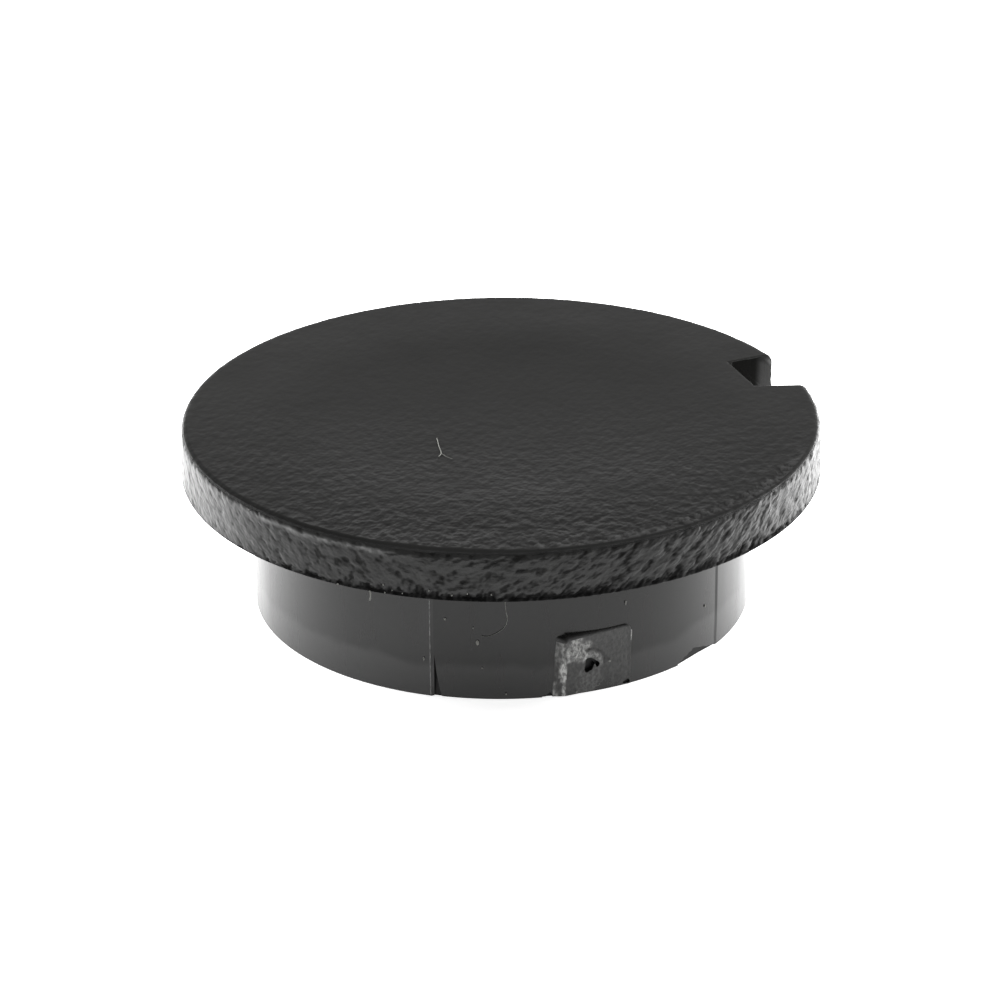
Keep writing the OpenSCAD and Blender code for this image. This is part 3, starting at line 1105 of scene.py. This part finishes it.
# A smooth curve through a strand's points
def strandPath(points):
    path = []
    for i in range(len(points) - 1):
        before, here = points[max(0, i - 1)], points[i]
        there, after = points[i + 1], points[min(len(points) - 1, i + 2)]
        path += geometry.interpolate_bezier(
            here, here + (there - before) / 6, there - (after - here) / 6, there, lint["steps"] + 1)[:-1]
    return path + [points[-1]]


def addStrand(bm, strand):
    kind = lintKind(strand)
    path = strandPath([lintPlace(kind, point) for point in strand[kind]])
    ring = bmesh.ops.create_circle(bm, cap_ends=True, segments=lint["sides"], radius=strand["r"])["verts"]
    turn = (path[1] - path[0]).to_track_quat("Z", "Y").to_matrix().to_4x4()
    bmesh.ops.transform(bm, matrix=Matrix.Translation(path[0]) @ turn, verts=ring)
    end = ring[0].link_faces[0]
    for here, there in zip(path, path[1:]):
        result = bmesh.ops.extrude_face_region(bm, geom=[end, *end.edges])
        end = [g for g in result["geom"] if isinstance(g, bmesh.types.BMFace)][0]
        bmesh.ops.translate(bm, vec=there - here, verts=newVerts(result))


def addFlake(bm, flake):
    kind = lintKind(flake)
    place = lintPlace(kind, flake[kind])
    place += polar(flake.get("out", 0.0), math.atan2(place.y, place.x))
    ball = bmesh.ops.create_icosphere(bm, subdivisions=2, radius=1)["verts"]
    turn = Matrix.Rotation(math.atan2(place.y, place.x), 4, "Z")
    shape = Matrix.Translation(place) @ turn @ Matrix.Diagonal((lint["flakeT"], *flake["size"], 1))
    bmesh.ops.transform(bm, matrix=shape, verts=ball)


def makeLint():
    bm = bmesh.new()
    for strand in lint["strands"]:
        addStrand(bm, strand)
    for flake in lint["flakes"]:
        addFlake(bm, flake)
    bmesh.ops.scale(bm, vec=(1 / toMm, 1 / toMm, 1 / toMm), verts=bm.verts)
    obj = meshObject("lint", bm, (looks["lint"],))
    obj.data.shade_smooth()
    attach(obj, "root")


makeLint()


# Stage: white table, two soft panels and a grey room

view = {
    "azimuth": photoTurn,
    "elevation": math.radians(24.806),
    "roll": math.radians(-0.434),
    "distance": 200.0,     # mm from the camera to the top's centre, along the line of sight
    "right": 0.033,        # mm by which the top's centre lies right of and above the image's middle
    "up": 4.266,
    "focal": 4.0152,       # focal length in image widths
    "sensor": 36.0,        # mm
}


def fromCamera(right, away, height):
    turn = Matrix.Rotation(view["azimuth"], 3, "Z")
    return turn @ Vector((right, away, height)) / toMm


def makeCamera():
    data = bpy.data.cameras.new("camera")
    data.sensor_width = view["sensor"]
    data.lens = view["focal"] * view["sensor"]
    data.clip_start = 0.01
    camera = bpy.data.objects.new("camera", data)
    scene.collection.objects.link(camera)
    turn = (Matrix.Rotation(view["azimuth"], 3, "Z")
            @ Matrix.Rotation(math.pi / 2 - view["elevation"], 3, "X")
            @ Matrix.Rotation(view["roll"], 3, "Z"))
    offset = turn @ Vector((view["right"], view["up"], -view["distance"]))
    camera.matrix_world = Matrix.Translation((Vector((0, 0, body["topZ"])) - offset) / toMm) @ turn.to_4x4()
    scene.camera = camera


# White table with a painted glow for the camera and for reflections, brighter behind the plug than in front
# of it and brighter to the right than to the left, with a painted shadow beside the foot
floorLook = {
    "colour": "#f2f2f2",
    "size": 4000.0,        # mm
    "frontGlow": 0.8,
    "backGlow": 2.4,
    "glowStart": -14.0,    # mm behind the plug's middle
    "glowEnd": 8.0,
    "sideGlow": (0.72, 1.2),     # gain of the glow far to the left and to the right
    "sideFrom": (20.0, 36.0),    # mm
    "shadow": 0.68,        # painted shadow: what is left of the glow beside the foot, for the rubber and for the camera
    "shadowSeen": 0.9,
    "shadowFrom": (10.0, 15.0),  # mm from the shadow's middle, which lies in front of the plug's
    "shadowShift": 4.0,
}


def tableTop():
    material, tree = newMaterial("white_table")
    path = addNode(tree, "LightPath")
    seen = addNode(tree, "Math", {"operation": "MAXIMUM"},
                   {0: path.outputs["Is Camera Ray"], 1: path.outputs["Is Glossy Ray"]})
    lit = addNode(tree, "BsdfDiffuse", {"Color": linear(floorLook["colour"])})
    coord = addNode(tree, "TexCoord")
    place = addNode(tree, "Mapping",
                    {"Rotation": (0, 0, -view["azimuth"]), "Scale": (toMm, toMm, toMm)},
                    {"Vector": coord.outputs["Object"]})
    away = addNode(tree, "SeparateXYZ", None, {"Vector": place.outputs["Vector"]})
    strength = addNode(tree, "MapRange",
                       {"interpolation_type": "SMOOTHSTEP",
                        "From Min": floorLook["glowStart"], "From Max": floorLook["glowEnd"],
                        "To Min": floorLook["frontGlow"], "To Max": floorLook["backGlow"]},
                       {"Value": away.outputs["Y"]})
    fromShadow = addNode(tree, "VectorMath", {"operation": "ADD", 1: (0, floorLook["shadowShift"], 0)},
                         {0: place.outputs["Vector"]})
    gap = addNode(tree, "VectorMath", {"operation": "LENGTH"}, {0: fromShadow.outputs["Vector"]})
    depth = addNode(tree, "MapRange",
                    {"To Min": floorLook["shadow"], "To Max": floorLook["shadowSeen"]},
                    {"Value": path.outputs["Is Camera Ray"]})
    shadow = addNode(tree, "MapRange",
                     {"interpolation_type": "SMOOTHSTEP",
                      "From Min": floorLook["shadowFrom"][0], "From Max": floorLook["shadowFrom"][1]},
                     {"Value": gap.outputs["Value"], "To Min": depth.outputs["Result"]})
    sideStart, sideEnd = floorLook["sideFrom"]
    left = addNode(tree, "MapRange",
                   {"interpolation_type": "SMOOTHSTEP",
                    "From Min": -sideEnd, "From Max": -sideStart, "To Min": floorLook["sideGlow"][0]},
                   {"Value": away.outputs["X"], "To Max": shadow.outputs["Result"]})
    right = addNode(tree, "MapRange",
                    {"interpolation_type": "SMOOTHSTEP",
                     "From Min": sideStart, "From Max": sideEnd, "To Max": floorLook["sideGlow"][1]},
                    {"Value": away.outputs["X"], "To Min": left.outputs["Result"]})
    shaded = addNode(tree, "Math", {"operation": "MULTIPLY"},
                     {0: strength.outputs["Result"], 1: right.outputs["Result"]})
    glow = addNode(tree, "Emission", None, {"Strength": shaded.outputs["Value"]})
    both = addNode(tree, "AddShader", None, {0: lit.outputs["BSDF"], 1: glow.outputs["Emission"]})
    mix = addNode(tree, "MixShader", None,
                  {0: seen.outputs["Value"], 1: lit.outputs["BSDF"], 2: both.outputs["Shader"]})
    addNode(tree, "OutputMaterial", None, {"Surface": mix.outputs["Shader"]})
    return material


def makeFloor():
    bm = bmesh.new()
    bmesh.ops.create_grid(bm, x_segments=1, y_segments=1, size=floorLook["size"] / 2 / toMm)
    floor = meshObject("floor", bm, (tableTop(),))


# Two panels, one on each side: place of the right one seen from the camera, what it points at, its side
panel = {
    "at": (60, 26, 34),    # mm to the right, away and up
    "aim": (20, 8, 0),
    "size": 44,            # mm
    "radiance": 11.0,
}

# The room: a pale wall behind the plug, a darker one behind the camera, and a grey ceiling
room = {
    "backWall": 0.58,
    "frontWall": 0.25,
    "wallTop": math.radians(2),
    "backCeiling": 0.29,
    "frontCeiling": 0.46,
    "ceilingStart": math.radians(21),
    "rightGlow": 0.6,      # a window's light from the right
    "rightFrom": (0.4, 0.8),
}


def makePanel(name, side):
    size = panel["size"] / toMm
    data = bpy.data.lights.new(name, "AREA")
    data.shape = "SQUARE"
    data.size = size
    data.energy = panel["radiance"] * math.pi * size * size
    lamp = bpy.data.objects.new(name, data)
    scene.collection.objects.link(lamp)
    place, aim = [fromCamera(side * right, away, up) for right, away, up in (panel["at"], panel["aim"])]
    lamp.location = place
    lamp.visible_glossy = False  # the panels light the table, and the rubber mirrors the table
    lamp.rotation_euler = (aim - place).to_track_quat("-Z", "Y").to_euler()


def makeRoom():
    world = bpy.data.worlds.new("room")
    world.use_nodes = True
    tree = world.node_tree
    tree.nodes.clear()
    coord = addNode(tree, "TexCoord")
    turned = addNode(tree, "Mapping", {"Rotation": (0, 0, -view["azimuth"])},
                     {"Vector": coord.outputs["Generated"]})
    split = addNode(tree, "SeparateXYZ", None, {"Vector": turned.outputs["Vector"]})
    wall = addNode(tree, "MapRange",
                   {"From Min": -0.5, "From Max": 0.5,
                    "To Min": room["frontWall"], "To Max": room["backWall"]},
                   {"Value": split.outputs["Y"]})
    ceiling = addNode(tree, "MapRange",
                      {"From Min": -0.5, "From Max": 0.5,
                       "To Min": room["frontCeiling"], "To Max": room["backCeiling"]},
                      {"Value": split.outputs["Y"]})
    level = addNode(tree, "MapRange",
                    {"interpolation_type": "SMOOTHSTEP",
                     "From Min": math.sin(room["wallTop"]), "From Max": math.sin(room["ceilingStart"])},
                    {"Value": split.outputs["Z"],
                     "To Min": wall.outputs["Result"], "To Max": ceiling.outputs["Result"]})
    window = addNode(tree, "MapRange",
                     {"interpolation_type": "SMOOTHSTEP", "From Min": room["rightFrom"][0],
                      "From Max": room["rightFrom"][1], "To Max": room["rightGlow"]},
                     {"Value": split.outputs["X"]})
    total = addNode(tree, "Math", {"operation": "ADD"},
                    {0: level.outputs["Result"], 1: window.outputs["Result"]})
    sky = addNode(tree, "Background", {"Color": linear("#ffffff")}, {"Strength": total.outputs["Value"]})
    addNode(tree, "OutputWorld", None, {"Surface": sky.outputs["Background"]})
    scene.world = world


makeCamera()
makeFloor()
makePanel("panel_left", -1)
makePanel("panel_right", 1)
makeRoom()
scene.view_settings.view_transform = "Standard"
print("stage ready")
